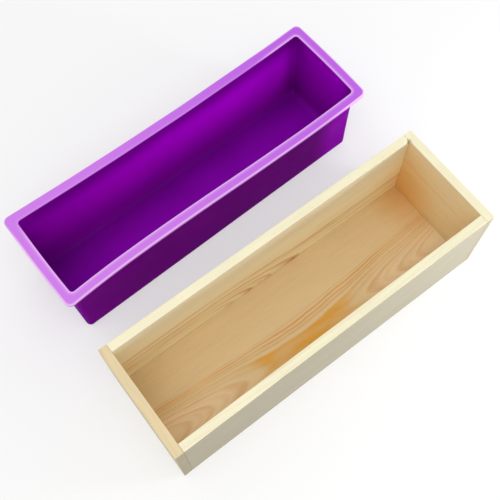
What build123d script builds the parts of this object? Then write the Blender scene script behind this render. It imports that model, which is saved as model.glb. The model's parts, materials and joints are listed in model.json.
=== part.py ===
from build123d import *

import os

# Soap loaf mould: a silicone liner, and the open pine box that keeps its long walls straight.
# Millimetres, +Z up, +X along the box. The origin is the centre of the box's underside.
# The liner stands behind the box, on the same surface, as it does before it's dropped in.

# The box: two ends that run the full width, two sides between them, and a bottom inside all four.
BOX_LENGTH = 280.0
BOX_WIDTH = 90.0
BOX_HEIGHT = 80.0
WALL_THICKNESS = 7.0
BOTTOM_THICKNESS = 8.0
EDGE_ROUND = 0.6

# The brads: 20 mm steel pins with a small round head, set just below the face of the board.
BRAD_LENGTH = 20.0
BRAD_RADIUS = 0.7
BRAD_TIP_LENGTH = 1.6
BRAD_HEAD_RADIUS = 1.1
BRAD_HEAD_HEIGHT = 0.7
BRAD_SET_DEPTH = 0.3
CORNER_BRAD_HEIGHTS = (16.0, 42.0, 68.0)
BRADS_ALONG_SIDE = 4
SIDE_BRAD_SPACING = 70.0
BRADS_ALONG_END = 2
END_BRAD_SPACING = 40.0

# The liner: one moulding with a flat rim, walls that lean out a little, and a round bottom edge.
RIM_LENGTH = 277.0
RIM_WIDTH = 82.0
RIM_THICKNESS = 3.0
RIM_CORNER_RADIUS = 5.0
RIM_EDGE_ROUND = 1.0
LINER_HEIGHT = 77.0
OPENING_LENGTH = 261.0
OPENING_WIDTH = 66.0
OPENING_CORNER_RADIUS = 2.5
LINER_WALL = 2.0
LINER_FLOOR = 3.0
WALL_LEAN = 0.5
BODY_CORNER_RADIUS = 4.5
BOTTOM_EDGE_ROUND = 3.8
CAVITY_EDGE_ROUND = 2.0
MOUTH_ROUND = 0.8
UNDER_RIM_ROUND = 1.5

# Where the liner stands: its centre, and how far it is turned from the box's long axis.
LINER_CENTRE = (-2.3, 129.2)
LINER_TURN_DEGREES = 1.6

INNER_LENGTH = BOX_LENGTH - 2 * WALL_THICKNESS
INNER_WIDTH = BOX_WIDTH - 2 * WALL_THICKNESS
SIDE_CENTRE = (BOX_WIDTH - WALL_THICKNESS) / 2
END_CENTRE = (BOX_LENGTH - WALL_THICKNESS) / 2
BOTTOM_MIDDLE = BOTTOM_THICKNESS / 2


def standing_box(length, width, height, x=0.0, y=0.0, z=0.0):
    """A block whose underside is at height z, centred on x and y."""
    return Pos(x, y, z + height / 2) * Box(length, width, height)


def spread(count, spacing):
    """Positions along a line, evenly spaced about its middle."""
    return [(i - (count - 1) / 2) * spacing for i in range(count)]


def whole_box():
    """The assembled box as one body, with its outer edges and the edge of its mouth sanded round."""
    block = standing_box(BOX_LENGTH, BOX_WIDTH, BOX_HEIGHT)
    block = fillet(block.edges(), EDGE_ROUND)
    hollow_height = BOX_HEIGHT - BOTTOM_THICKNESS
    block -= standing_box(INNER_LENGTH, INNER_WIDTH, hollow_height, z=BOTTOM_THICKNESS)
    top_edges = block.edges().group_by(Axis.Z)[-1]
    mouth = [
        edge
        for edge in top_edges
        if abs(edge.center().X) < INNER_LENGTH / 2 + EDGE_ROUND / 2
        and abs(edge.center().Y) < INNER_WIDTH / 2 + EDGE_ROUND / 2
    ]
    return fillet(mouth, EDGE_ROUND)


def brad(with_dimple=False):
    """One brad, driven along -Z from a face at height 0; the dimple is the hole's mouth above it."""
    head_top = -BRAD_SET_DEPTH
    head_bottom = head_top - BRAD_HEAD_HEIGHT
    tip = head_top - BRAD_LENGTH
    outline = Polyline(
        (0, 0, 0 if with_dimple else head_top),
        (BRAD_HEAD_RADIUS, 0, 0 if with_dimple else head_top),
        (BRAD_HEAD_RADIUS, 0, head_bottom),
        (BRAD_RADIUS, 0, head_bottom),
        (BRAD_RADIUS, 0, tip + BRAD_TIP_LENGTH),
        (0, 0, tip),
        close=True,
    )
    return revolve(make_face(outline), Axis.Z)


def end_brad_places(side):
    """Where brads enter one end panel: three up each corner, and a row into the bottom's end."""
    outer_face = side * BOX_LENGTH / 2
    spots = [(y, z) for y in (-SIDE_CENTRE, SIDE_CENTRE) for z in CORNER_BRAD_HEIGHTS]
    spots += [(y, BOTTOM_MIDDLE) for y in spread(BRADS_ALONG_END, END_BRAD_SPACING)]
    return [Plane(origin=(outer_face, y, z), z_dir=(side, 0, 0)) for y, z in spots]


def side_brad_places(side):
    """Where brads enter one side panel: a row into the bottom's long edge."""
    outer_face = side * BOX_WIDTH / 2
    row = spread(BRADS_ALONG_SIDE, SIDE_BRAD_SPACING)
    return [Plane(origin=(x, outer_face, BOTTOM_MIDDLE), z_dir=(0, side, 0)) for x in row]


def liner():
    """The silicone liner, standing with the centre of its underside at the origin."""
    top_length = OPENING_LENGTH + 2 * LINER_WALL
    top_width = OPENING_WIDTH + 2 * LINER_WALL
    under_rim = LINER_HEIGHT - RIM_THICKNESS
    body = leaning_block(top_length, top_width, BODY_CORNER_RADIUS, 0.0)
    body = fillet(body.edges().group_by(Axis.Z)[0], BOTTOM_EDGE_ROUND)
    cavity = leaning_block(OPENING_LENGTH, OPENING_WIDTH, OPENING_CORNER_RADIUS, LINER_FLOOR)
    cavity = fillet(cavity.edges().group_by(Axis.Z)[0], CAVITY_EDGE_ROUND)
    rim = extrude(RectangleRounded(RIM_LENGTH, RIM_WIDTH, RIM_CORNER_RADIUS), RIM_THICKNESS)
    rim = fillet(rim.faces().sort_by(Axis.Z)[-1].edges(), RIM_EDGE_ROUND)
    rim = fillet(rim.faces().sort_by(Axis.Z)[0].edges(), RIM_EDGE_ROUND)
    shell = body + Pos(0, 0, under_rim) * rim
    shell = fillet(edges_at(shell, under_rim, top_length, top_width), UNDER_RIM_ROUND)
    shell -= cavity
    return fillet(edges_at(shell, LINER_HEIGHT, OPENING_LENGTH, OPENING_WIDTH), MOUTH_ROUND)


def leaning_block(top_length, top_width, corner_radius, floor):
    """A block up to the liner's full height, WALL_LEAN narrower at its floor on every side."""
    low = Pos(0, 0, floor) * RectangleRounded(
        top_length - 2 * WALL_LEAN, top_width - 2 * WALL_LEAN, corner_radius - WALL_LEAN
    )
    high = Pos(0, 0, LINER_HEIGHT) * RectangleRounded(top_length, top_width, corner_radius)
    return loft([low, high])


def edges_at(shape, height, length, width):
    """The level edges of a shape at a height, no further out than a rectangle of this size."""
    near = 0.3
    return [
        edge
        for edge in shape.edges()
        if abs(edge.bounding_box().min.Z - height) < near
        and abs(edge.bounding_box().max.Z - height) < near
        and abs(edge.center().X) < length / 2 + near
        and abs(edge.center().Y) < width / 2 + near
    ]


def standing_liner():
    """The liner where it stands, behind the box."""
    turn = Rot(0, 0, LINER_TURN_DEGREES)
    return Pos(*LINER_CENTRE, 0) * turn * liner()


def boards():
    """The five boards, before their brad holes, cut from the shape of the whole box."""
    box = whole_box()
    end = (WALL_THICKNESS, BOX_WIDTH, BOX_HEIGHT)
    side = (INNER_LENGTH, WALL_THICKNESS, BOX_HEIGHT)
    bottom = (INNER_LENGTH, INNER_WIDTH, BOTTOM_THICKNESS)
    blanks = {
        "left_end_panel": standing_box(*end, x=-END_CENTRE),
        "right_end_panel": standing_box(*end, x=END_CENTRE),
        "front_side_panel": standing_box(*side, y=-SIDE_CENTRE),
        "back_side_panel": standing_box(*side, y=SIDE_CENTRE),
        "bottom_panel": standing_box(*bottom),
    }
    return {name: blank & box for name, blank in blanks.items()}


def parts():
    """Every node of the mould, by name."""
    brad_places = {
        "left_end_brads": end_brad_places(-1),
        "right_end_brads": end_brad_places(1),
        "front_side_brads": side_brad_places(-1),
        "back_side_brads": side_brad_places(1),
    }
    all_places = [place for places in brad_places.values() for place in places]
    holes = [place * brad(with_dimple=True) for place in all_places]
    nodes = {name: board - holes for name, board in boards().items()}
    for name, places in brad_places.items():
        nodes[name] = Compound([place * brad() for place in places])
    nodes["silicone_liner"] = standing_liner()
    return nodes


os.makedirs("parts", exist_ok=True)
for node, shape in parts().items():
    export_step(shape, f"parts/{node}.step")
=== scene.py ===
import json
import math
from dataclasses import dataclass

import bmesh
import bpy
import numpy as np
from mathutils import Matrix, Vector, noise


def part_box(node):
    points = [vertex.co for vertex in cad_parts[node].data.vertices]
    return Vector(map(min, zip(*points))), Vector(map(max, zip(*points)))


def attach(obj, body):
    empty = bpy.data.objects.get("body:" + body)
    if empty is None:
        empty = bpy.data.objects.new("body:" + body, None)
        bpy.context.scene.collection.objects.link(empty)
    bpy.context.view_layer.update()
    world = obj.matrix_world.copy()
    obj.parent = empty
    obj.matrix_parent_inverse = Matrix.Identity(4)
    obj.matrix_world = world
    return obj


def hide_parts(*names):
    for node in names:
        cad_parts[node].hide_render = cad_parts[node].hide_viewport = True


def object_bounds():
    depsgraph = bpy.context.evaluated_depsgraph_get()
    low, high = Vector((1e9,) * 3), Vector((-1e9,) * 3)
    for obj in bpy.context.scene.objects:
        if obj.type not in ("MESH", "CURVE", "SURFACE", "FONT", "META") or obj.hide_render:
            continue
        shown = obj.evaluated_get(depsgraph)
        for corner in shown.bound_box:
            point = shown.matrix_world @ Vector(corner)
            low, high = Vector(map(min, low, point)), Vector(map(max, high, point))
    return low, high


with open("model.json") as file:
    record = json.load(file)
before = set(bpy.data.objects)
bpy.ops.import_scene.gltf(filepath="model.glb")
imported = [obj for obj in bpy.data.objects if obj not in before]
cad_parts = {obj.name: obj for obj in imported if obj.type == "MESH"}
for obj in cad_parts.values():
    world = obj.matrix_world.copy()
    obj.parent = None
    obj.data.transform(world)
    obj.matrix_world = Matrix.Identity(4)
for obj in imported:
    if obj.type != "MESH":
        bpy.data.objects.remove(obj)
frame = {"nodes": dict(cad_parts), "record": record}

# A silicone soap mould and the pine box that it drops into. Lengths are in millimetres up to the
# point where a mesh is made, and Blender's own units are metres.
MM = 0.001
X, Y, Z = 0, 1, 2
CAD_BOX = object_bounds()

# ---- The frame ----


def node_box(node):
    """The lowest and highest corner of a CAD node, in millimetres."""
    low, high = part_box(node)
    return np.array(low) / MM, np.array(high) / MM


def mount_place(name):
    """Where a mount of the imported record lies, in millimetres."""
    mounts = {mount["name"]: mount for mount in frame["record"]["mounts"]}
    return np.array(mounts[name]["pos_m"]) / MM


RIGHT_LOW, RIGHT_HIGH = node_box("right_end_panel")
BACK_LOW, _ = node_box("back_side_panel")
_, BOTTOM_HIGH = node_box("bottom_panel")
BOX_HALF_LENGTH, BOX_HALF_WIDTH, BOX_HEIGHT = RIGHT_HIGH
INSIDE_HALF_LENGTH = RIGHT_LOW[X]
INSIDE_HALF_WIDTH = BACK_LOW[Y]
INSIDE_FLOOR = BOTTOM_HIGH[Z]

# ---- Small sums ----


def smooth_step(value, start, end):
    share = max(0.0, min(1.0, (value - start) / (end - start)))
    return share * share * (3 - 2 * share)


def blend(a, b, share):
    return a + (b - a) * share


def polynomial(coefficients, t):
    """A sum of rising powers of t."""
    return sum(c * t**power for power, c in enumerate(coefficients))


# ---- Node trees ----

# The colour sockets of a mix node, whose other ones are for other types.
MIX_SHARE, MIX_A, MIX_B = 0, 6, 7
MIX_RESULT = 2


class Recipe:
    """A material being written. Each call adds a node, feeds it, and gives back its output."""

    def __init__(self, name):
        self.material = bpy.data.materials.new(name)
        self.material.use_nodes = True
        self.tree = self.material.node_tree
        self.surface = self.tree.nodes["Principled BSDF"]

    def node(self, kind, feeds, output=0, **settings):
        node = self.tree.nodes.new(kind)
        for key, value in settings.items():
            setattr(node, key, value)
        for slot, value in feeds.items():
            self.feed(node.inputs[slot], value)
        return node.outputs[output]

    def feed(self, slot, value):
        if isinstance(value, bpy.types.NodeSocket):
            self.tree.links.new(value, slot)
        else:
            slot.default_value = value

    def finish(self, **feeds):
        """Feeds the surface shader, whose inputs are named with underscores for spaces."""
        for slot, value in feeds.items():
            self.feed(self.surface.inputs[slot.replace("_", " ")], value)
        return self.material

    def math(self, operation, a, b=0.0, clamp=False):
        return self.node("ShaderNodeMath", {0: a, 1: b}, operation=operation, use_clamp=clamp)

    def add(self, a, b):
        return self.math("ADD", a, b)

    def times(self, a, b):
        return self.math("MULTIPLY", a, b)

    def square(self, a):
        return self.math("MULTIPLY", a, a)

    def distance(self, *sides):
        """The root of the sum of squares."""
        total = self.square(sides[0])
        for side in sides[1:]:
            total = self.add(total, self.square(side))
        return self.math("SQRT", total)

    def point(self, x, y, z):
        return self.node("ShaderNodeCombineXYZ", {0: x, 1: y, 2: z})

    def split(self, vector):
        node = self.tree.nodes.new("ShaderNodeSeparateXYZ")
        self.feed(node.inputs[0], vector)
        return list(node.outputs)

    def place(self):
        """The point being shaded, as x, y and z in millimetres, before any pose."""
        coordinate = self.node("ShaderNodeTexCoord", {}, "Object")
        return [self.times(axis, 1 / MM) for axis in self.split(coordinate)]

    def facing(self):
        """The surface's normal as x, y and z, in the frame of the object before any pose."""
        normal = self.node("ShaderNodeNewGeometry", {}, "Normal")
        settings = {"vector_type": "NORMAL", "convert_from": "WORLD", "convert_to": "OBJECT"}
        return self.split(self.node("ShaderNodeVectorTransform", {0: normal}, **settings))

    def attribute(self, name):
        """A number that the mesh holds at each vertex."""
        return self.node("ShaderNodeAttribute", {}, "Fac", attribute_name=name)

    def noise(self, vector, scale=1.0, detail=2.0, roughness=0.5):
        feeds = {"Vector": vector, "Scale": scale, "Detail": detail, "Roughness": roughness}
        return self.node("ShaderNodeTexNoise", feeds, "Fac")

    def swing(self, value, amount=1.0):
        """Noise from nought to one, made to swing about nought by up to this amount."""
        return self.times(self.math("SUBTRACT", value, 0.5), 2 * amount)

    def remap(self, value, start, end, low=0.0, high=1.0, smooth=True):
        kind = "SMOOTHSTEP" if smooth else "LINEAR"
        feeds = {0: value, 1: start, 2: end, 3: low, 4: high}
        return self.node("ShaderNodeMapRange", feeds, interpolation_type=kind)

    def curve(self, value, stops):
        """A grey ramp through (place, height) stops."""
        node = self.tree.nodes.new("ShaderNodeValToRGB")
        elements = node.color_ramp.elements
        while len(elements) < len(stops):
            elements.new(1.0)
        for element, (where, height) in zip(elements, stops):
            element.position = where
            element.color = (height, height, height, 1.0)
        self.feed(node.inputs[0], value)
        return node.outputs[0]

    def mix(self, share, a, b, blend_type="MIX"):
        """Colour a towards colour b by share."""
        feeds = {MIX_SHARE: share, MIX_A: a, MIX_B: b}
        settings = {"data_type": "RGBA", "blend_type": blend_type}
        return self.node("ShaderNodeMix", feeds, MIX_RESULT, **settings)

    def stain_and_shade(self, share, tone, stain):
        """A colour multiplied by another, by share: a stain, and in the box's back right corner a
        painted shade.
        """
        return self.mix(share, tone, stain, "MULTIPLY")

    def scaled(self, tone, share):
        """A colour made darker or lighter."""
        return self.node("ShaderNodeVectorMath", {0: tone, 3: share}, operation="SCALE")

    def bump(self, height, depth):
        """A bumpy normal, where a height of one stands this many millimetres up."""
        return self.node("ShaderNodeBump", {"Height": height, "Distance": depth * MM})


def colour(red, green, blue):
    """A linear colour from the usual 0 to 255 screen values."""

    def linear(value):
        share = value / 255
        return share / 12.92 if share <= 0.04045 else ((share + 0.055) / 1.055) ** 2.4

    return (linear(red), linear(green), linear(blue), 1.0)


# ---- Pine ----

# The wood's colours. A stain, and the painted warm shade, leave these shares of red, green and blue.
SANDED = colour(250, 243, 208)
# Painted shade: the outside faces are darker than the top edges.
SHADED_OUTSIDE = colour(209, 197, 168)
# Painted shade: the whole front of the box is greyer still than its other sides.
SHADED_FRONT = colour(161, 154, 132)
OUTSIDE_LATE_SHARE = (0.80, 0.67, 0.53, 1.0)
END_GRAIN_SHARE = (0.95, 0.9, 0.84, 1.0)
INSIDE_LATE = colour(213, 154, 82)
PINKISH = colour(232, 192, 152)
PALE_HEART = colour(243, 222, 182)
RESIN = colour(230, 172, 68)
CANAL = colour(150, 104, 66)
WORN_EDGE = colour(250, 243, 222)
WORN_EDGE_SHARE = 0.35
# Painted warm shade fades out this far from the inside's lower back right corner, along x, y and z.
WARM_SHADE_SHARE = (0.93, 0.66, 0.36, 1.0)
WARM_SHADE_REACH = (40.0, 60.0, 92.0)

# How much of the pink and of the late wood shows outside, and inside.
PINK_SHARES = (0.05, 0.2)
LATE_SHARES = (0.6, 1.0)
# How much each pattern lightens and darkens the wood.
FIBRE_CONTRAST = 0.065
STREAK_CONTRAST = 0.035
MOTTLE_CONTRAST = 0.06
# A year's ring darkens slowly, then stops at a clean line.
SEASONS = ((0.0, 0.0), (0.42, 0.04), (0.74, 0.45), (0.9, 1.0), (1.0, 0.0))
FAINTEST_YEAR = 0.2
# How far the rings wander, in millimetres, and how uneven they are, in years.
WAVE_REACH = 3.2
RIPPLE_REACH = 0.55
UNEVEN_YEARS = 0.45
UNEVEN_STEPS = 0.11
# What is left of the late wood in its faintest and in its strongest patches.
PATCH_EDGES = (0.3, 0.65)
PATCH_SHARES = (0.55, 1.15)
# A marked ring fades in over its width and ends over this much. All lie within the reach.
RING_END = 0.5
RING_REACH = 100.0
PALE_EDGE_WIDTH = 2.5
RESIN_EDGE_WIDTH = 0.4
RESIN_TAPER = 24.0
# Resin canals are fine dashes a few millimetres long.
CANAL_SCALE = 0.8
CANAL_EDGES = (0.05, 0.12)
CANAL_STRENGTH = 0.35
# How the wood shines, and its relief.
WOOD_ROUGHNESS = 0.62
WOOD_SHINE = 0.3
WOOD_RELIEF = 0.05
# The box's inside counts as this much bigger than it is, and ends this much below the top.
INSIDE_SLACK = 0.5


@dataclass
class Pattern:
    """A pattern along the grain: how far it moves on per millimetre, and how fine it gets."""

    along: float
    across: float
    detail: float = 2.0
    roughness: float = 0.5


WAVE = Pattern(0.012, 0.035)
RIPPLE = Pattern(0.05, 0.16, detail=3.0)
PATCHES = Pattern(0.02, 0.08)
FIBRES = Pattern(0.035, 1.5, detail=4.0, roughness=0.62)
STREAKS = Pattern(0.012, 0.22)
MOTTLE = Pattern(0.03, 0.1, detail=3.0, roughness=0.6)
CANALS = Pattern(0.1, 1.1)


@dataclass
class Grain:
    """How a board was cut from the log, in millimetres.

    along, across and depth are the board's axes. The log's heart runs along the board, at one place
    across it, and some way in front of its inner face. That distance changes along the board: by a
    bend about bend_middle, and by a step that is spread between two places.
    marked holds the rings that stand out: how far from the heart, how wide and how strong. The resin
    ring is orange between resin_from and resin_to. The wood within pale_within of the heart is paler.
    The tone changes across the board as painted shade, from low_tone at tone_from to tone at tone_to.
    """

    along: int
    across: int
    depth: int
    face: float
    inward: int
    tone: tuple
    low_tone: tuple
    heart: float
    distance: float
    seed: float
    bend: float = 0.0
    bend_middle: float = 0.0
    step: float = 0.0
    step_from: float = -100.0
    step_to: float = 100.0
    ring: float = 3.0
    contrast: float = 0.3
    marked: tuple = ()
    tone_from: float = 0.0
    tone_to: float = 1.0
    resin_ring: float = 0.0
    resin_width: float = 2.0
    resin_from: float = 0.0
    resin_to: float = 0.0
    pale_within: float = 0.0
    # How much painted warm shade lies in the inside's lower back right corner.
    corner_shading: float = 0.0
    edge: tuple = SANDED


def pine(name, grain):
    """Bare pine: growth rings round the log's heart, fibres along it, and a paler sanded edge."""
    wood = Recipe(name)
    place = wood.place()
    axes = board_axes(wood, place, grain)
    radius = heart_distance(wood, place, axes, grain)
    patchy = wood.remap(grain_noise(wood, axes, PATCHES), *PATCH_EDGES, *PATCH_SHARES)
    late = wood.times(late_wood(wood, radius, grain), patchy)
    fibre = wood.swing(grain_noise(wood, axes, FIBRES))
    streak = wood.swing(grain_noise(wood, axes, STREAKS))
    inside = inside_mask(wood, place)

    early_tone, late_tone = season_tones(wood, place, radius, inside, grain)
    pink = wood.times(wood.remap(streak, -0.4, 0.5), wood.remap(inside, 0.0, 1.0, *PINK_SHARES))
    early_tone = wood.mix(pink, early_tone, PINKISH)
    late_share = wood.times(late, wood.remap(inside, 0.0, 1.0, *LATE_SHARES))
    tone = wood.mix(late_share, early_tone, late_tone)
    if grain.resin_ring:
        tone = wood.mix(resin_share(wood, grain, radius, place[grain.along], patchy), tone, RESIN)
    # Painted warm shade in the inside's lower back right corner.
    if grain.corner_shading:
        warm = wood.times(wood.times(painted_corner_shade(wood, place), grain.corner_shading), inside)
        tone = wood.stain_and_shade(warm, tone, WARM_SHADE_SHARE)
    worn = wood.times(wood.attribute("sanded"), WORN_EDGE_SHARE)
    tone = wood.mix(worn, tone, WORN_EDGE)

    mottle = wood.swing(grain_noise(wood, axes, MOTTLE))
    light = wood.add(wood.times(fibre, FIBRE_CONTRAST), wood.times(streak, STREAK_CONTRAST))
    light = wood.add(light, wood.times(mottle, MOTTLE_CONTRAST))
    tone = wood.scaled(tone, wood.add(light, 1.0))
    tone = wood.mix(canals(wood, axes), tone, CANAL)

    relief = wood.add(wood.times(fibre, 0.5), wood.times(late, 0.8))
    roughness = wood.add(wood.times(late, -0.1), wood.add(wood.times(fibre, 0.06), WOOD_ROUGHNESS))
    return wood.finish(
        Base_Color=tone,
        Roughness=roughness,
        Specular_IOR_Level=WOOD_SHINE,
        Normal=wood.bump(relief, WOOD_RELIEF),
    )


def board_axes(wood, place, grain):
    """How far along and across the board a point is, and how far behind its inner face."""
    along = wood.add(place[grain.along], grain.seed)
    depth = wood.times(wood.add(place[grain.depth], -grain.face), -grain.inward)
    return along, place[grain.across], depth


def stretched(wood, axes, pattern):
    """The point where a pattern is looked up, drawn out along the grain."""
    steps = (pattern.along, pattern.across, pattern.across)
    return wood.point(*(wood.times(axis, step) for axis, step in zip(axes, steps)))


def grain_noise(wood, axes, pattern):
    """Noise of a pattern, from nought to one."""
    vector = stretched(wood, axes, pattern)
    return wood.noise(vector, detail=pattern.detail, roughness=pattern.roughness)


def heart_distance(wood, place, axes, grain):
    """How far a point is from the log's heart, with rings that wander a little."""
    _, across, depth = axes
    wave = wood.swing(grain_noise(wood, axes, WAVE), WAVE_REACH)
    ripple = wood.swing(grain_noise(wood, axes, RIPPLE), RIPPLE_REACH)
    across = wood.add(wood.add(across, wave), ripple)
    middle = wood.add(place[grain.along], -grain.bend_middle)
    bend = wood.times(wood.square(middle), grain.bend)
    step = wood.remap(place[grain.along], grain.step_from, grain.step_to, 0.0, grain.step)
    in_front = wood.add(wood.add(wood.add(bend, step), grain.distance), depth)
    return wood.distance(wood.add(across, -grain.heart), in_front)


def late_wood(wood, radius, grain):
    """How dark the rings are at a distance from the heart. Years differ in width and strength."""
    uneven = wood.point(wood.times(radius, UNEVEN_STEPS), grain.seed, 0.0)
    drift = wood.swing(wood.noise(uneven, detail=1.0), UNEVEN_YEARS)
    years = wood.add(wood.times(radius, 1 / grain.ring), drift)
    year = wood.add(wood.math("FLOOR", years), grain.seed)
    chance = wood.node("ShaderNodeTexWhiteNoise", {"W": year}, noise_dimensions="1D")
    strength = wood.remap(chance, 0.0, 1.0, FAINTEST_YEAR, 1.0, smooth=False)
    late = wood.times(wood.curve(wood.math("FRACT", years), SEASONS), strength)
    late = wood.times(late, grain.contrast)
    if grain.marked:
        late = wood.math("MAXIMUM", late, marked_rings(wood, radius, grain.marked))
    return late


def marked_rings(wood, radius, rings):
    """How dark the marked rings are at a distance from the heart."""
    darkest = 0.0
    # Every other ring goes in a ramp of its own, so that two rings can overlap.
    for part in (rings[0::2], rings[1::2]):
        stops = [(0.0, 0.0)]
        for where, width, strength in part:
            stops += [(where - width, 0.0), (where, strength), (where + RING_END, 0.0)]
        scaled = [(where / RING_REACH, height) for where, height in stops]
        ramp = wood.curve(wood.times(radius, 1 / RING_REACH), scaled)
        darkest = wood.math("MAXIMUM", ramp, darkest)
    return darkest


def season_tones(wood, place, radius, inside, grain):
    """The colours of the early and of the late wood, on the box's inside and outside. The outside is
    painted in shade, the front most.
    """
    facing = wood.facing()
    facing_up = wood.remap(facing[Z], 0.5, 0.9)
    near_top = wood.math("GREATER_THAN", place[Z], BOX_HEIGHT - EDGE_SUPPORT)
    # Painted shade on the faces that look to the front.
    in_front = wood.remap(facing[Y], -0.5, -0.9)
    outside = wood.mix(in_front, SHADED_OUTSIDE, SHADED_FRONT)
    # Painted shade: the tone changes across the board.
    painted_shade_share = wood.remap(place[grain.across], grain.tone_from, grain.tone_to)
    body = wood.mix(painted_shade_share, grain.low_tone, grain.tone)
    if grain.pale_within:
        pale = wood.remap(radius, grain.pale_within, grain.pale_within - PALE_EDGE_WIDTH)
        body = wood.mix(pale, body, PALE_HEART)
    early = wood.mix(wood.times(facing_up, near_top), outside, grain.edge)
    early = wood.mix(inside, early, body)
    end_grain = wood.remap(wood.math("ABSOLUTE", facing[grain.along]), 0.6, 0.95)
    early = wood.stain_and_shade(end_grain, early, END_GRAIN_SHARE)
    late = wood.mix(inside, wood.stain_and_shade(1.0, outside, OUTSIDE_LATE_SHARE), INSIDE_LATE)
    return early, late


def resin_share(wood, grain, radius, along, patchy):
    """One in the orange part of the resin ring, which tapers at both ends."""
    start = wood.remap(along, grain.resin_from, grain.resin_from + RESIN_TAPER)
    end = wood.remap(along, grain.resin_to, grain.resin_to - RESIN_TAPER)
    within = grain.resin_ring - grain.resin_width
    inner = wood.remap(radius, within - RESIN_EDGE_WIDTH, within + RESIN_EDGE_WIDTH)
    outer = wood.remap(radius, grain.resin_ring + RESIN_EDGE_WIDTH, grain.resin_ring)
    share = wood.times(wood.times(start, end), wood.times(inner, outer))
    return wood.math("MULTIPLY", share, patchy, clamp=True)


def painted_corner_shade(wood, place):
    """Where painted warm shade lies: one at the inside's lower back right corner, less further off."""
    corner = (INSIDE_HALF_LENGTH, INSIDE_HALF_WIDTH, INSIDE_FLOOR)
    away = [
        wood.times(wood.add(axis, -spot), 1 / reach)
        for axis, spot, reach in zip(place, corner, WARM_SHADE_REACH)
    ]
    return wood.remap(wood.distance(*away), 1.0, 0.1)


def inside_mask(wood, place):
    """One on the faces that look into the box, and nought elsewhere."""
    reach_x = wood.math("ABSOLUTE", place[X])
    reach_y = wood.math("ABSOLUTE", place[Y])
    mask = wood.math("LESS_THAN", reach_x, INSIDE_HALF_LENGTH + INSIDE_SLACK)
    mask = wood.times(mask, wood.math("LESS_THAN", reach_y, INSIDE_HALF_WIDTH + INSIDE_SLACK))
    mask = wood.times(mask, wood.math("GREATER_THAN", place[Z], INSIDE_FLOOR - INSIDE_SLACK))
    return wood.times(mask, wood.math("LESS_THAN", place[Z], BOX_HEIGHT - INSIDE_SLACK))


def canals(wood, axes):
    """Resin canals: scattered fine dashes along the grain."""
    feeds = {"Vector": stretched(wood, axes, CANALS), "Scale": CANAL_SCALE, "Randomness": 1.0}
    nearest = wood.node("ShaderNodeTexVoronoi", feeds, "Distance")
    return wood.remap(nearest, *CANAL_EDGES, CANAL_STRENGTH, 0.0)


# ---- Boards ----

SANDED_ROUND = 0.6
SEAM_ROUND = 0.22
# The seam at the inside's back right corner opens from this share of the box's height to its top.
OPEN_SEAM_ROUND = 0.9
OPEN_SEAM_FROM = 0.45
EDGE_STEPS = 2
EDGE_SUPPORT = 1.0
BOARD_SPACING = 2.6
BOARD_CREASE = 35
# Faces stand in from the board's block by up to twice this, in waves about this long.
SURFACE_WAVE = 0.06
SURFACE_WAVE_LENGTH = 31.0
# The open edges are rounder in some places than in others.
HANDLING = 0.35
HANDLING_LENGTH = 17.0


def axis_marks(low, high, spacing, steps, support):
    """Marks along one axis of a block, with the ones that carry its two round edges.

    Each mark is (base, inset, reach): a vertex lies at base + inset * radius, and then as far again
    as the round takes it in the direction that reach shares with the other axes.
    """
    tangents = [math.tan(math.radians(45 * i / steps)) for i in range(steps, -1, -1)]
    count = max(1, round((high - low - 2 * support) / spacing))
    between = np.linspace(low + support, high - support, count + 1)
    marks = [(low, 1, -tangent) for tangent in tangents]
    marks += [(place, 0, 0.0) for place in between]
    marks += [(high, -1, tangent) for tangent in reversed(tangents)]
    return marks


def is_near(value, target):
    return abs(value - target) < SANDED_ROUND


def edge_round(x, y, z):
    """How round an edge of the box is at a point: more in the open than at a seam."""
    at_end = is_near(abs(x), BOX_HALF_LENGTH)
    at_side = is_near(abs(y), BOX_HALF_WIDTH)
    at_top = is_near(z, BOX_HEIGHT)
    at_foot = is_near(z, 0.0)
    if is_near(x, INSIDE_HALF_LENGTH) and is_near(y, INSIDE_HALF_WIDTH):
        open_share = smooth_step(z, OPEN_SEAM_FROM * BOX_HEIGHT, BOX_HEIGHT)
        return blend(SEAM_ROUND, OPEN_SEAM_ROUND, open_share)
    in_mouth_x = is_near(abs(x), INSIDE_HALF_LENGTH) and abs(y) < INSIDE_HALF_WIDTH
    in_mouth_y = is_near(abs(y), INSIDE_HALF_WIDTH) and abs(x) < INSIDE_HALF_LENGTH
    in_the_open = at_end + at_side + at_top + at_foot >= 2
    in_the_mouth = at_top and (in_mouth_x or in_mouth_y)
    if not (in_the_open or in_the_mouth):
        return SEAM_ROUND
    handled = noise.noise(Vector((x, y, z)) / HANDLING_LENGTH)
    return SANDED_ROUND * (1.0 + HANDLING * handled)


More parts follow.
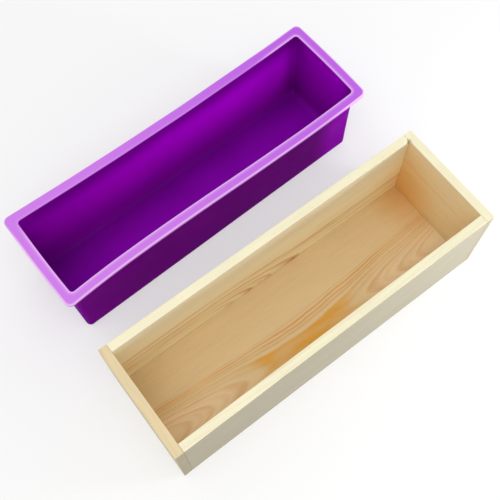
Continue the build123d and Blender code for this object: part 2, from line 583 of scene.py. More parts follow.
def block(name, low, high, seed):
    """A board as a fine mesh: rounded edges, faces that aren't quite flat, and small knocks."""
    marks = [
        axis_marks(low[axis], high[axis], BOARD_SPACING, EDGE_STEPS, EDGE_SUPPORT)
        for axis in range(3)
    ]
    last = [len(line) - 1 for line in marks]
    made = {}
    mesh = bmesh.new()
    sanded = mesh.verts.layers.float.new("sanded")

    def vertex(index):
        if index in made:
            return made[index]
        chosen = [line[i] for line, i in zip(marks, index)]
        base, inset, reach = (np.array(values, float) for values in zip(*chosen))
        radius = edge_round(*base)
        outward = reach / np.linalg.norm(reach)
        place = base + inset * radius + outward * radius
        wave = noise.noise(Vector(place) / SURFACE_WAVE_LENGTH + Vector((seed, 0, 0)))
        worn = SURFACE_WAVE * (1.0 + wave) + knock_depth(place)
        made[index] = mesh.verts.new((place - outward * worn) * MM)
        rounding = np.sort(np.abs(reach))[-2]
        made[index][sanded] = rounding if radius > SEAM_ROUND else 0.0
        return made[index]

    for axis in range(3):
        u, v = (axis + 1) % 3, (axis + 2) % 3
        for end in (0, last[axis]):
            for i in range(last[u]):
                for j in range(last[v]):
                    ring = [(i, j), (i + 1, j), (i + 1, j + 1), (i, j + 1)]
                    if end == 0:
                        ring.reverse()
                    corners = [{axis: end, u: a, v: b} for a, b in ring]
                    mesh.faces.new([vertex((c[0], c[1], c[2])) for c in corners])
    return add_piece(name, mesh)


def add_piece(name, mesh):
    """Puts a finished mesh in the scene as an object."""
    data = bpy.data.meshes.new(name)
    mesh.to_mesh(data)
    mesh.free()
    piece = bpy.data.objects.new(name, data)
    bpy.context.scene.collection.objects.link(piece)
    return piece


# Small knocks along the box's edges: where each is, how wide and how deep.
KNOCKS = (
    ((-BOX_HALF_LENGTH, -BOX_HALF_WIDTH, 61.0), 3.0, 0.35),
    ((-52.0, -BOX_HALF_WIDTH, BOX_HEIGHT), 4.0, 0.3),
    ((BOX_HALF_LENGTH, 12.0, BOX_HEIGHT), 3.5, 0.3),
    ((88.0, BOX_HALF_WIDTH, BOX_HEIGHT), 4.5, 0.35),
    ((BOX_HALF_LENGTH, -BOX_HALF_WIDTH, 22.0), 3.5, 0.35),
    ((INSIDE_HALF_LENGTH, INSIDE_HALF_WIDTH, BOX_HEIGHT), 2.6, 1.8),
)


def knock_depth(place):
    """How far the knocks near a point press the surface in."""
    total = 0.0
    for centre, width, depth in KNOCKS:
        away = (Vector(place) - Vector(centre)).length / width
        if away < 1.0:
            total += depth * (1.0 - away * away) ** 2
    return total


def set_shading(piece, sharp_degrees):
    """Smooth shading, broken at edges sharper than this."""
    mesh = piece.data
    mesh.polygons.foreach_set("use_smooth", [True] * len(mesh.polygons))
    mesh.set_sharp_from_angle(angle=math.radians(sharp_degrees))


# ---- Brad holes ----

HOLE_SLACK = 0.04
HOLE_STEPS = 20
SHANK_RADIUS = 0.7
HEAD_HEIGHT = 0.7
TIP_LENGTH = 1.6
# The heads are set this deep, and the cutter stands this proud of the box's face.
SET_DEPTH = 0.3
PROUD = 0.5
# Points of a CAD mesh nearer to each other than this are one point.
WELD = 0.001
BRAD_NODES = ("left_end_brads", "right_end_brads", "front_side_brads", "back_side_brads")


def brad_boxes(node):
    """The boxes of the separate brads of a CAD node, in millimetres."""
    mesh = bmesh.new()
    mesh.from_mesh(frame["nodes"][node].data)
    bmesh.ops.remove_doubles(mesh, verts=mesh.verts, dist=WELD * MM)
    left = set(mesh.verts)
    boxes = []
    while left:
        island, edge = set(), [left.pop()]
        while edge:
            vertex = edge.pop()
            island.add(vertex)
            near = {e.other_vert(vertex) for e in vertex.link_edges} & left
            left -= near
            edge.extend(near)
        places = np.array([v.co for v in island]) / MM
        boxes.append((places.min(0), places.max(0)))
    mesh.free()
    return sorted(boxes, key=lambda box: tuple(np.round(box[0], 3)))


def hole_cutter():
    """One mesh with the shape of every brad's hole, from just outside the box's face."""
    mesh = bmesh.new()
    for node in BRAD_NODES:
        for low, high in brad_boxes(node):
            size, middle = high - low, (low + high) / 2
            axis = int(np.argmax(size))
            side = 1 if middle[axis] > 0 else -1
            head_radius = np.sort(size)[0] / 2
            head = middle.copy()
            head[axis] += side * size[axis] / 2
            add_hole(mesh, head, axis, side, head_radius, size[axis])
    return add_piece("hole_cutter", mesh)


def add_hole(mesh, head, axis, side, head_radius, length):
    """Adds one hole: round, stepped under the brad's head and pointed at its tip."""
    wide, narrow = head_radius + HOLE_SLACK, SHANK_RADIUS + HOLE_SLACK
    section = (
        (wide, SET_DEPTH + PROUD),
        (wide, -HEAD_HEIGHT - HOLE_SLACK),
        (narrow, -HEAD_HEIGHT - HOLE_SLACK),
        (narrow, TIP_LENGTH - length),
    )
    outward = Vector([side if i == axis else 0 for i in range(3)])
    turn = outward.to_track_quat("Z", "Y").to_matrix()
    rings = []
    for radius, height in section:
        ring = []
        for i in range(HOLE_STEPS):
            angle = 2 * math.pi * i / HOLE_STEPS
            spot = Vector((radius * math.cos(angle), radius * math.sin(angle), height))
            ring.append(mesh.verts.new((Vector(head) + turn @ spot) * MM))
        rings.append(ring)
    tip = mesh.verts.new((Vector(head) + turn @ Vector((0, 0, -length - HOLE_SLACK))) * MM)
    mesh.faces.new(rings[0])
    for upper, lower in zip(rings, rings[1:]):
        for i in range(HOLE_STEPS):
            j = (i + 1) % HOLE_STEPS
            mesh.faces.new((upper[i], lower[i], lower[j], upper[j]))
    for i in range(HOLE_STEPS):
        mesh.faces.new((rings[-1][i], tip, rings[-1][(i + 1) % HOLE_STEPS]))


def cut_holes(piece, cutter):
    """Takes the brads' holes out of a board."""
    cut = piece.modifiers.new("holes", "BOOLEAN")
    cut.operation = "DIFFERENCE"
    cut.solver = "EXACT"
    cut.object = cutter
    apply_modifiers(piece)


def apply_modifiers(piece):
    """Replaces a piece's mesh with what its modifiers make of it."""
    graph = bpy.context.evaluated_depsgraph_get()
    data = bpy.data.meshes.new_from_object(piece.evaluated_get(graph), depsgraph=graph)
    piece.modifiers.clear()
    piece.data = data


# ---- The box ----

PLAIN_TONE = colour(244, 228, 188)
BOARDS = {
    "bottom_board": Grain(
        along=X, across=Y, depth=Z, face=INSIDE_FLOOR, inward=1, tone=colour(215, 189, 140),
        low_tone=colour(236, 214, 168), heart=-19.0, distance=19.0, bend=-0.00073,
        bend_middle=-4.0, seed=11.0, contrast=0.1,
        marked=(
            (10.0, 1.3, 0.4), (11.6, 0.8, 0.25), (12.9, 1.2, 0.5), (14.7, 0.9, 0.3),
            (16.3, 1.4, 0.6), (18.1, 0.7, 0.3), (19.9, 1.2, 0.5), (21.9, 0.8, 0.6),
            (23.3, 0.8, 0.85), (25.0, 0.9, 0.9), (26.6, 0.8, 0.4),
        ),
        resin_ring=19.9, resin_width=2.0, resin_from=-62.0, resin_to=50.0, pale_within=17.8,
        tone_from=-INSIDE_HALF_WIDTH, tone_to=INSIDE_HALF_WIDTH, corner_shading=0.75,
    ),
    "back_side_board": Grain(
        along=X, across=Z, depth=Y, face=INSIDE_HALF_WIDTH, inward=-1,
        tone=colour(236, 227, 194), low_tone=colour(255, 246, 208), heart=9.0, distance=12.0,
        tone_from=44.0, tone_to=BOX_HEIGHT,
        step=18.0, step_from=-80.0, step_to=50.0, seed=23.0, contrast=0.12,
        marked=(
            (17.0, 1.5, 0.55), (20.8, 1.9, 0.9), (22.8, 0.8, 0.35), (24.6, 1.5, 0.6),
            (28.7, 2.2, 1.0), (31.4, 0.8, 0.4), (34.2, 1.2, 0.75), (36.6, 1.5, 1.0),
        ),
        corner_shading=0.3,
    ),
    "front_side_board": Grain(
        along=X, across=Z, depth=Y, face=-INSIDE_HALF_WIDTH, inward=1,
        tone=PLAIN_TONE, low_tone=PLAIN_TONE, heart=61.0, distance=30.0,
        bend=0.0004, ring=4.2, contrast=0.5, seed=37.0,
    ),
    "left_end_board": Grain(
        along=Y, across=Z, depth=X, face=-INSIDE_HALF_LENGTH, inward=1,
        tone=PLAIN_TONE, low_tone=PLAIN_TONE, heart=30.0, distance=22.0,
        step=6.0, ring=2.4, contrast=0.9, seed=41.0, edge=colour(234, 213, 169),
    ),
    "right_end_board": Grain(
        along=Y, across=Z, depth=X, face=INSIDE_HALF_LENGTH, inward=-1,
        tone=colour(246, 228, 184), low_tone=colour(252, 234, 186), heart=-20.0, distance=12.0,
        step=3.0, ring=5.2, contrast=0.15, seed=59.0, corner_shading=1.0,
        marked=((32.3, 1.0, 0.3), (34.2, 1.2, 0.35), (36.4, 1.3, 0.35), (74.0, 2.5, 0.25)),
    ),
}


def wooden_box():
    """The five boards, each standing for its panel."""
    cutter = hole_cutter()
    for name, grain in BOARDS.items():
        panel = name.replace("board", "panel")
        low, high = node_box(panel)
        piece = block(name, low, high, grain.seed)
        cut_holes(piece, cutter)
        set_shading(piece, BOARD_CREASE)
        piece.data.materials.clear()
        piece.data.materials.append(pine(f"pine_{name}", grain))
        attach(piece, "box")
        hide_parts(panel)
    bpy.data.objects.remove(cutter)


BRIGHT_STEEL = colour(202, 203, 206)
TARNISHED_STEEL = colour(140, 136, 132)
STEEL_ROUGHNESS = 0.18


def steel():
    """Steel wire, a little tarnished and finely scratched."""
    metal = Recipe("brad_wire_steel")
    point = metal.point(*metal.place())
    tarnish = metal.noise(point, scale=0.9, detail=3.0)
    scratch = metal.noise(point, scale=9.0)
    tone = metal.mix(tarnish, BRIGHT_STEEL, TARNISHED_STEEL)
    roughness = metal.add(metal.times(scratch, 0.12), STEEL_ROUGHNESS)
    roughness = metal.add(metal.times(tarnish, 0.3), roughness)
    return metal.finish(
        Base_Color=tone, Metallic=1.0, Roughness=roughness, Normal=metal.bump(scratch, 0.02)
    )


def brads():
    """The brads keep their CAD shape and take a procedural steel."""
    wire = steel()
    for node in BRAD_NODES:
        piece = frame["nodes"][node]
        piece.data.materials.clear()
        piece.data.materials.append(wire)


# ---- The liner ----

LINER_LOW, LINER_HIGH = node_box("silicone_liner")
LINER_HEIGHT = LINER_HIGH[Z]
LINER_CENTRE = mount_place("liner_base")
LINER_TURN = math.radians(1.6)
RIM_CORNER = 5.0
RIM_REACH = 8.0
RIM_THICKNESS = 3.0
RIM_ROUND = 1.0
UNDER_RIM_ROUND = 1.5
OPENING_CORNER = 2.5
MOUTH_ROUND = 0.8
WALL = 2.0
FLOOR = 3.0
LEAN = 0.5
FOOT_ROUND = 3.8
CAVITY_ROUND = 5.0
CAVITY_CORNER = 1.0
# How fine the liner's mesh is.
LINER_SPACING = 3.0
LINER_CREASE = 80
WALL_ROWS = 24
FOOT_STEPS = 6
ROUND_STEPS = 4
CAVITY_STEPS = 8
CORNER_STEPS = 4
FLAT_SUPPORT = 0.5


def rim_half_sizes():
    """Half the rim's length and width, from the box round the turned liner."""
    half = (LINER_HIGH - LINER_LOW)[:2] / 2 - RIM_CORNER
    cosine, sine = math.cos(LINER_TURN), math.sin(LINER_TURN)
    straight = np.linalg.solve([[cosine, sine], [sine, cosine]], half)
    return straight + RIM_CORNER


RIM_HALF_LENGTH, RIM_HALF_WIDTH = rim_half_sizes()
OPENING_HALF_LENGTH = RIM_HALF_LENGTH - RIM_REACH
OPENING_HALF_WIDTH = RIM_HALF_WIDTH - RIM_REACH
MOUTH_FOOT = LINER_HEIGHT - MOUTH_ROUND
UNDER_RIM = LINER_HEIGHT - RIM_THICKNESS
WALL_TOP = UNDER_RIM - UNDER_RIM_ROUND
CAVITY_FOOT = FLOOR + CAVITY_ROUND


def arc(out, height, radius, start, end, steps):
    """Points of the liner's section on an arc, as (distance out from the opening's edge, height)."""
    angles = np.radians(np.linspace(start, end, steps + 1))
    return [(out + radius * math.cos(a), height + radius * math.sin(a)) for a in angles]


def outer_wall(height):
    return WALL - LEAN * (1 - height / LINER_HEIGHT)


def inner_wall(height):
    return -LEAN * (LINER_HEIGHT - height) / (LINER_HEIGHT - FLOOR)


def liner_section():
    """The liner's section as two lines: up its outside and over the rim, and down its inside."""
    edge = RIM_REACH - RIM_ROUND
    neck = WALL + UNDER_RIM_ROUND
    foot = arc(outer_wall(0) - FOOT_ROUND, FOOT_ROUND, FOOT_ROUND, -90, 0, FOOT_STEPS)
    wall = [(outer_wall(z), z) for z in np.linspace(FOOT_ROUND, WALL_TOP, WALL_ROWS)[1:-1]]
    under = arc(neck, WALL_TOP, UNDER_RIM_ROUND, 180, 90, ROUND_STEPS)
    under += [((neck + edge) / 2, UNDER_RIM), (edge - FLAT_SUPPORT, UNDER_RIM)]
    rim = arc(edge, UNDER_RIM + RIM_ROUND, RIM_ROUND, -90, 0, ROUND_STEPS)
    rim += arc(edge, LINER_HEIGHT - RIM_ROUND, RIM_ROUND, 0, 90, ROUND_STEPS)
    flat = np.linspace(edge - FLAT_SUPPORT, MOUTH_ROUND + FLAT_SUPPORT, 4)
    top = [(out, LINER_HEIGHT) for out in flat]
    mouth = arc(MOUTH_ROUND, MOUTH_FOOT, MOUTH_ROUND, 90, 180, ROUND_STEPS)
    inside = [(inner_wall(z), z) for z in np.linspace(MOUTH_FOOT, CAVITY_FOOT, WALL_ROWS)[1:-1]]
    cavity_out = inner_wall(CAVITY_FOOT) - CAVITY_ROUND
    cavity = arc(cavity_out, CAVITY_FOOT, CAVITY_ROUND, 0, -90, CAVITY_STEPS)
    return foot + wall + under + rim + top + mouth[:1], mouth[1:] + inside + cavity


def corner_radius(out):
    """The plan's corner radius: the corners are concentric, apart from the rim's tighter ones."""
    tight = WALL + UNDER_RIM_ROUND
    places = (-LEAN - CAVITY_ROUND, 0.0, tight, RIM_REACH - RIM_ROUND, RIM_REACH)
    radii = (CAVITY_CORNER, OPENING_CORNER, OPENING_CORNER + tight, RIM_CORNER - RIM_ROUND, RIM_CORNER)
    return float(np.interp(out, places, radii))


def plan_marks(out):
    """Marks along and across the plan at a point of the section, and its corners' radius."""
    plain = CAVITY_ROUND + LEAN + CAVITY_CORNER + FLAT_SUPPORT
    lines = []
    for half in (OPENING_HALF_LENGTH, OPENING_HALF_WIDTH):
        line = axis_marks(-half, half, LINER_SPACING, CORNER_STEPS, plain)
        lines.append([(base - out * inset, inset, reach) for base, inset, reach in line])
    columns, rows = lines
    return columns, rows, corner_radius(out)


def plan_outline(columns, rows):
    """The marks round the plan's edge, in order."""
    right, back = len(columns) - 1, len(rows) - 1
    round_trip = [(i, 0) for i in range(right)] + [(right, j) for j in range(back)]
    round_trip += [(i, back) for i in range(right, 0, -1)]
    return round_trip + [(0, j) for j in range(back, 0, -1)]


def plan_point(x_mark, y_mark, radius):
    """A point of a rounded rectangle's plan; inside a corner's square it is drawn into the round."""
    base, inset, reach = (np.array(values, float) for values in zip(x_mark, y_mark))
    length = np.linalg.norm(reach)
    outward = reach * (np.abs(reach).max() / length) if length else reach
    return base + inset * radius + outward * radius


# How far the top of each long wall stands towards the back: rising powers of the place along it.
BACK_BOW = (-1.0, -1.1, 3.1)
FRONT_BOW = (-0.25, -3.5, -0.6, 4.2)
# The bow grows with height by this power.
BOW_POWER = 1.5
# The end walls bulge outwards between these shares of the half length.
END_BULGE = 0.6
END_FROM, END_TO = 0.8, 0.94
# The long walls are slightly wavy, most of all at mid height, and the rim sags here and there.
WALL_WAVE = 0.8
WALL_WAVE_LENGTHS = (55.0, 40.0, 45.0)
RIM_SAG = 0.3
RIM_SAG_LENGTH = 38.0
RIM_SAG_FROM = 0.8


def flexed(x, y, z):
    """Where a point of the straight moulding goes in the soft one, in the liner's own axes."""
    rise = (z / LINER_HEIGHT) ** BOW_POWER
    t = x / RIM_HALF_LENGTH
    across = max(-1.0, min(1.0, y / OPENING_HALF_WIDTH))
    shift = polynomial(BACK_BOW, t) * max(across, 0.0) + polynomial(FRONT_BOW, t) * max(-across, 0.0)
    end_share = smooth_step(abs(t), END_FROM, END_TO) * math.copysign(1.0, x)
    bulge = END_BULGE * (1.0 - across * across) * end_share
    slack = math.sin(math.pi * min(z / LINER_HEIGHT, 1.0))
    long_x, long_y, long_z = WALL_WAVE_LENGTHS
    wave = noise.noise(Vector((x / long_x, y / long_y, z / long_z + 3.0)))
    sag = RIM_SAG * (noise.noise(Vector((x / RIM_SAG_LENGTH, y / RIM_SAG_LENGTH, 9.0))) - 0.5)
    return (
        x + bulge * rise,
        y + shift * rise + WALL_WAVE * wave * slack * abs(across) ** 4,
        z + sag * smooth_step(z, RIM_SAG_FROM * LINER_HEIGHT, LINER_HEIGHT),
    )


class Skin:
    """The liner's mesh being made, with the shares that its material reads at each vertex."""

    def __init__(self):
        self.mesh = bmesh.new()
        layers = self.mesh.verts.layers.float
        self.layers = {name: layers.new(name) for name in ("rim", "edge", "inner", "painted_light")}

    def vertex(self, place, height, inner, rim=0.0, edge=0.0):
        """Adds a point of the straight moulding where it goes in the soft, turned one."""
        cosine, sine = math.cos(LINER_TURN), math.sin(LINER_TURN)
        x, y, z = flexed(place[X], place[Y], height)
        turned = Vector((x * cosine - y * sine, x * sine + y * cosine, z))
        vertex = self.mesh.verts.new((Vector(LINER_CENTRE) + turned) * MM)
        vertex[self.layers["rim"]] = rim
        vertex[self.layers["edge"]] = edge * caught_light(place)
        vertex[self.layers["inner"]] = inner
        vertex[self.layers["painted_light"]] = painted_light(place, height) if inner else 1.0
        return vertex

    def loop(self, out, height, inner):
        """One loop round the plan, at one point of the section."""
        columns, rows, radius = plan_marks(out)
        rim, edge = rim_sheen_share(out, height), edge_share(out, height)
        trip = plan_outline(columns, rows)
        places = [plan_point(columns[i], rows[j], radius) for i, j in trip]
        return [self.vertex(place, height, inner, rim, edge) for place in places]

    def band(self, lower, upper):
        """The faces between two loops."""
        for i in range(len(lower)):
            j = (i + 1) % len(lower)
            self.mesh.faces.new((lower[i], lower[j], upper[j], upper[i]))

    def closing(self, out, height, inner, loop):
        """A flat grid of faces that closes a loop."""
        columns, rows, radius = plan_marks(out)
        grid = dict(zip(plan_outline(columns, rows), loop))
        for i in range(1, len(columns) - 1):
            for j in range(1, len(rows) - 1):
                grid[i, j] = self.vertex(plan_point(columns[i], rows[j], radius), height, inner)
        for i in range(len(columns) - 1):
            for j in range(len(rows) - 1):
                corners = (grid[i, j], grid[i + 1, j], grid[i + 1, j + 1], grid[i, j + 1])
                self.mesh.faces.new(corners)


def liner():
    """The liner as one closed mesh: its section carried round the plan, and two floors."""
    outside, inside = liner_section()
    skin = Skin()
    loops = [skin.loop(out, height, 0.0) for out, height in outside]
    loops += [skin.loop(out, height, 1.0) for out, height in inside]
    for lower, upper in zip(loops, loops[1:]):
        skin.band(lower, upper)
    skin.closing(*outside[0], 0.0, loops[0])
    skin.closing(*inside[-1], 1.0, loops[-1])
    bmesh.ops.recalc_face_normals(skin.mesh, faces=skin.mesh.faces)
    piece = add_piece("liner_skin", skin.mesh)
    set_shading(piece, LINER_CREASE)
    piece.data.materials.append(silicone())
    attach(piece, "liner")
    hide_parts("silicone_liner")


# ---- Silicone ----

# Painted light and shade inside the liner, for light that would come through its thin walls.
# How much a long wall's painted light gains at its brightest: rising powers of the place along it.
WALL_LIT = (0.8, 0.4, -0.33)
# A long wall's painted light grows from its foot up to the first height, and painted shade darkens it
# between the other two.
LIT_FROM, DIM_FROM, DIM_TO = 44.0, 50.0, 76.0
DIM_UNDER_RIM = 0.5
# An end wall's painted brightness at its foot, what it gains by this height, and its change across.
END_LIT = 0.92
END_GAIN = 0.2
END_GAIN_HEIGHT = 60.0
END_FADE_ACROSS = 0.2
# The floor's painted brightness in its front half, and what painted shade takes off towards the back
# wall.
FLOOR_LIT = 0.87
FLOOR_LOSS = 0.43
# Painted shade darkens the right end's upright corners, over this width.
CORNER_SHADE = 0.35
CORNER_SHADE_WIDTH = 18.0
# Where walls meet, their painted brightness blends over this far on each side, and where a wall meets
# the floor, over this range.
WALLS_MEET = 15.0
FLOOR_MEETS = (-6.5, 2.5)


def painted_light(place, height):
    """Painted brightness inside: light as if it came through the long walls, not the floor."""
    to_end = OPENING_HALF_LENGTH - abs(place[X])
    to_side = OPENING_HALF_WIDTH - abs(place[Y])
    rise = height - FLOOR
    along = place[X] / OPENING_HALF_LENGTH
    across = place[Y] / OPENING_HALF_WIDTH
    on_long_wall = smooth_step(to_end - to_side, -WALLS_MEET, WALLS_MEET)
    wall = blend(end_wall_light(across, rise), long_wall_light(along, rise), on_long_wall)
    corner = 1.0 - smooth_step(max(to_end, to_side), 0.0, CORNER_SHADE_WIDTH)
    wall *= 1.0 - CORNER_SHADE * corner * smooth_step(along, 0.0, 1.0)
    lying = FLOOR_LIT - FLOOR_LOSS * smooth_step(across, -0.1, 1.0)
    return blend(wall, lying, smooth_step(min(to_end, to_side) - rise, *FLOOR_MEETS))


def long_wall_light(along, rise):
    lit = polynomial(WALL_LIT, along)
    gained = lit * smooth_step(rise, 0.0, LIT_FROM)
    return 1.0 + gained - (lit + DIM_UNDER_RIM) * smooth_step(rise, DIM_FROM, DIM_TO)


def end_wall_light(across, rise):
    lit = END_LIT + END_GAIN * smooth_step(rise, 0.0, END_GAIN_HEIGHT)
    return lit * (1.0 - END_FADE_ACROSS * across)


# The share of the mouth's round, from its top, that takes the rim's painted sheen.
MOUTH_SHEEN = 0.7
# The painted highlight line on the rim's inner edge: its middle and half its width, in mouth rounds.
HIGHLIGHT_LINE_MIDDLE = 0.8
HIGHLIGHT_LINE_REACH = 1.2


def mouth_share(height):
    """How far a height is up the round at the top of the inside."""
    return smooth_step(height, LINER_HEIGHT - MOUTH_SHEEN * MOUTH_ROUND, LINER_HEIGHT)


def rim_sheen_share(out, height):
    """How much a point of the section belongs to the thin rim, which is painted paler as a sheen."""
    flange = smooth_step(out, WALL + 0.2 * UNDER_RIM_ROUND, WALL + UNDER_RIM_ROUND)
    return max(flange, mouth_share(height))


def edge_share(out, height):
    """How near a point of the section is to one of the rim's upper edges, which catch the light."""
    if height < LINER_HEIGHT - RIM_ROUND:
        return 0.0
    outer = 1.0 - min(1.0, abs(out - (RIM_REACH - 0.5 * RIM_ROUND)) / RIM_ROUND)
    to_line = abs(out - HIGHLIGHT_LINE_MIDDLE * MOUTH_ROUND)
    inner = 1.0 - min(1.0, to_line / (HIGHLIGHT_LINE_REACH * MOUTH_ROUND))
    return max(outer, inner * mouth_share(height))


# The back rim catches this much less light, but for its right end.
BACK_LOSS = 0.8
RIGHT_END_FROM, RIGHT_END_TO = 0.65, 0.85


def caught_light(place):
    """How much light the rim's edges catch at a place."""
    back = smooth_step(place[Y], 0.5 * OPENING_HALF_WIDTH, OPENING_HALF_WIDTH)
    right = smooth_step(place[X] / OPENING_HALF_LENGTH, RIGHT_END_FROM, RIGHT_END_TO)
    return 1.0 - BACK_LOSS * back * (1.0 - right)


PURPLE_FLOOR = colour(160, 0, 195)
PURPLE_WALL = colour(160, 0, 179)
PURPLE_MOUTH = colour(160, 0, 191)
# Painted shade: the outside is darker than the inside, and darker still at its foot.
SHADED_PURPLE_FOOT = colour(111, 0, 133)
SHADED_PURPLE_OUTSIDE = colour(119, 0, 142)
# The rim's painted sheen, paler towards the rim's left end.
RIM_SHEEN_LEFT = colour(211, 130, 237)
RIM_SHEEN_RIGHT = colour(195, 106, 232)
# A painted highlight on the rim's upper edges, and how strongly it shows.
EDGE_HIGHLIGHT = colour(247, 206, 251)
EDGE_HIGHLIGHT_SHARE = 0.95
# Where up the liner the foot's deeper painted shade ends outside, and the mouth's tone begins inside.
FOOT_TONE_TO = 0.6
MOUTH_TONE_FROM = 0.4
# Clouds and the fine skin lighten and darken the rubber a little.
CLOUD_SCALE = 0.02
CLOUD_LIGHT = (0.92, 1.06)
SKIN_SCALE = 1.4
SKIN_CONTRAST = 0.03
SKIN_RELIEF = 0.03
HANDLED_SCALE = 0.06
RUBBER_ROUGHNESS = 0.5
# The outside shines less, as it would mirror the white room at a flat angle.
RUBBER_SHINE = (0.004, 0.03)


def silicone():
    """Satin silicone: saturated colour with painted light and shade, a fine matt skin and faint
    handling marks.
    """
    rubber = Recipe("purple_silicone")
    x, y, z = rubber.place()
    point = rubber.point(x, y, z)
    inner = rubber.attribute("inner")
    cloud = rubber.swing(rubber.noise(point, scale=CLOUD_SCALE, detail=3.0))
    skin = rubber.swing(rubber.noise(point, scale=SKIN_SCALE, detail=3.0, roughness=0.6))
    handled = rubber.remap(rubber.noise(point, scale=HANDLED_SCALE, detail=4.0), 0.45, 0.7)

    lying = rubber.remap(rubber.facing()[Z], 0.3, 0.95)
    to_mouth = rubber.remap(z, MOUTH_TONE_FROM * LINER_HEIGHT, LINER_HEIGHT)
    from_foot = rubber.remap(z, 0.0, FOOT_TONE_TO * LINER_HEIGHT)
    wall = rubber.mix(to_mouth, PURPLE_WALL, PURPLE_MOUTH)
    # Painted shade on the outside, deepest at the foot.
    outside = rubber.mix(from_foot, SHADED_PURPLE_FOOT, SHADED_PURPLE_OUTSIDE)
    tone = rubber.mix(inner, outside, rubber.mix(lying, wall, PURPLE_FLOOR))
    # Painted light and shade inside the liner.
    tone = rubber.scaled(tone, rubber.attribute("painted_light"))
    tone = rubber.scaled(tone, rubber.remap(cloud, -0.5, 0.5, *CLOUD_LIGHT))
    # Painted sheen on the rim.
    rim_sheen = rubber.mix(rubber.remap(x, -RIM_HALF_LENGTH, RIM_HALF_LENGTH), RIM_SHEEN_LEFT, RIM_SHEEN_RIGHT)
    tone = rubber.mix(rubber.attribute("rim"), tone, rim_sheen)
    # Painted highlight on the rim's upper edges.
    tone = rubber.mix(rubber.times(rubber.attribute("edge"), EDGE_HIGHLIGHT_SHARE), tone, EDGE_HIGHLIGHT)
    tone = rubber.scaled(tone, rubber.add(rubber.times(skin, SKIN_CONTRAST), 1.0))

    roughness = rubber.add(rubber.times(skin, 0.05), RUBBER_ROUGHNESS)
    roughness = rubber.add(rubber.times(handled, -0.08), roughness)
    return rubber.finish(
        Base_Color=tone,
        Roughness=roughness,
        Specular_IOR_Level=rubber.remap(inner, 0.0, 1.0, *RUBBER_SHINE, smooth=False),
        Normal=rubber.bump(skin, SKIN_RELIEF),
    )


# ---- Studio ----

# Places and sizes are in metres here. The floor's fade, the lens and the sensor are in millimetres.
WHITE = (1.0, 1.0, 1.0, 1.0)
BLACK = (0.0, 0.0, 0.0, 1.0)
ROOM_LIGHT = 0.72
ROOM_SEEN = 0.97
# The floor glows a little, so that shadows on it stay faint. Far off it fades into the room.
FLOOR_REACH = 12.0
FLOOR_DROP = 0.0002
FLOOR_TONE = (0.56, 0.56, 0.56, 1.0)
FLOOR_GLOW = 0.42
FLOOR_FADE = (400.0, 1600.0)
KEY_PLACE = Vector((-0.3, -0.5, 1.6))
KEY_SIZE = 1.3
KEY_POWER = 9.0
FILL_PLACE = Vector((0.4, -0.4, 0.03))
FILL_SIZE = 0.12
FILL_POWER = 1.95
FILL_TINT = (0.95, 1.0, 1.08)


def floor():
    """A plain pale floor under both pieces."""
    mesh = bmesh.new()
    bmesh.ops.create_grid(mesh, x_segments=1, y_segments=1, size=FLOOR_REACH)
    sheet = add_piece("floor", mesh)
    sheet.location.z = -FLOOR_DROP
    paper = Recipe("pale_floor")
    x, y, _ = paper.place()
    away = paper.distance(x, y)
    material = paper.finish(
        Base_Color=paper.mix(paper.remap(away, *FLOOR_FADE), FLOOR_TONE, BLACK),
        Roughness=0.9,
        Specular_IOR_Level=0.0,
        Emission_Color=WHITE,
        Emission_Strength=paper.remap(away, *FLOOR_FADE, FLOOR_GLOW, ROOM_SEEN),
    )
    sheet.data.materials.append(material)


def soft_light(name, place, target, size, power, tint=(1.0, 1.0, 1.0)):
    """A square soft box at a place, aimed at a target."""
    data = bpy.data.lights.new(name, "AREA")
    data.shape = "SQUARE"
    data.size = size
    data.energy = power
    data.color = tint
    lamp = bpy.data.objects.new(name, data)
    lamp.location = place
    lamp.rotation_euler = (Vector(target) - Vector(place)).to_track_quat("-Z", "Y").to_euler()
    bpy.context.scene.collection.objects.link(lamp)


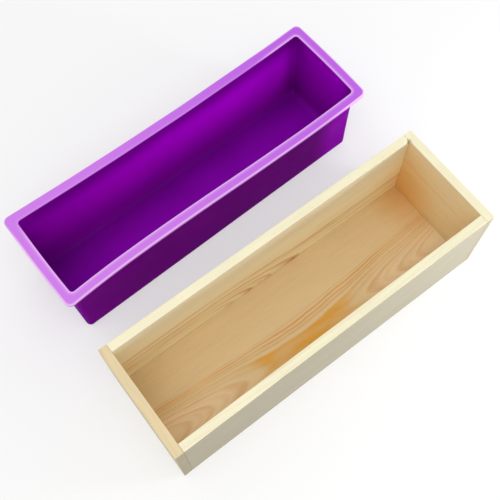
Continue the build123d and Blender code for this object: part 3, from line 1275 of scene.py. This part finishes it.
def white_room():
    """White surroundings, which look brighter than the light that they give."""
    world = bpy.data.worlds.new("white_room")
    world.use_nodes = True
    tree = world.node_tree
    seen = tree.nodes.new("ShaderNodeLightPath").outputs["Is Camera Ray"]
    strength = tree.nodes.new("ShaderNodeMapRange")
    strength.inputs["To Min"].default_value = ROOM_LIGHT
    strength.inputs["To Max"].default_value = ROOM_SEEN
    tree.links.new(seen, strength.inputs["Value"])
    background = tree.nodes["Background"]
    background.inputs["Color"].default_value = WHITE
    tree.links.new(strength.outputs[0], background.inputs["Strength"])
    bpy.context.scene.world = world


def studio(centre):
    """A white room, a large soft box above the camera's side and a small fill from the right."""
    white_room()
    soft_light("key", centre + KEY_PLACE, centre, KEY_SIZE, KEY_POWER)
    soft_light("right_fill", centre + FILL_PLACE, centre, FILL_SIZE, FILL_POWER, FILL_TINT)
    bpy.context.scene.view_settings.view_transform = "Standard"


# The camera looks down from the front left, rolled very slightly.
AIM_SHIFT = Vector((-0.0038, -0.0102, 0.0))
CAMERA_DISTANCE = 0.6187
CAMERA_AZIMUTH = math.radians(-36.57)
CAMERA_ELEVATION = math.radians(67.31)
CAMERA_ROLL = math.radians(-0.80)
CAMERA_LENS = 58.87
CAMERA_SENSOR = 36.0
CAMERA_NEAR = 0.01


def camera(centre):
    """The camera, at the photo's viewing angle."""
    flat = math.cos(CAMERA_ELEVATION)
    side, ahead = math.sin(CAMERA_AZIMUTH) * flat, -math.cos(CAMERA_AZIMUTH) * flat
    back = Vector((side, ahead, math.sin(CAMERA_ELEVATION)))
    data = bpy.data.cameras.new("camera")
    data.lens = CAMERA_LENS
    data.sensor_width = CAMERA_SENSOR
    data.clip_start = CAMERA_NEAR
    eye = bpy.data.objects.new("camera", data)
    level = back.to_track_quat("Z", "Y").to_matrix()
    turn = level @ Matrix.Rotation(CAMERA_ROLL, 3, "Z")
    place = centre + AIM_SHIFT + back * CAMERA_DISTANCE
    eye.matrix_world = Matrix.Translation(place) @ turn.to_4x4()
    bpy.context.scene.collection.objects.link(eye)
    bpy.context.scene.camera = eye


# ---- The scene ----

wooden_box()
brads()
liner()
CENTRE = (CAD_BOX[0] + CAD_BOX[1]) / 2
floor()
studio(CENTRE)
camera(CENTRE)
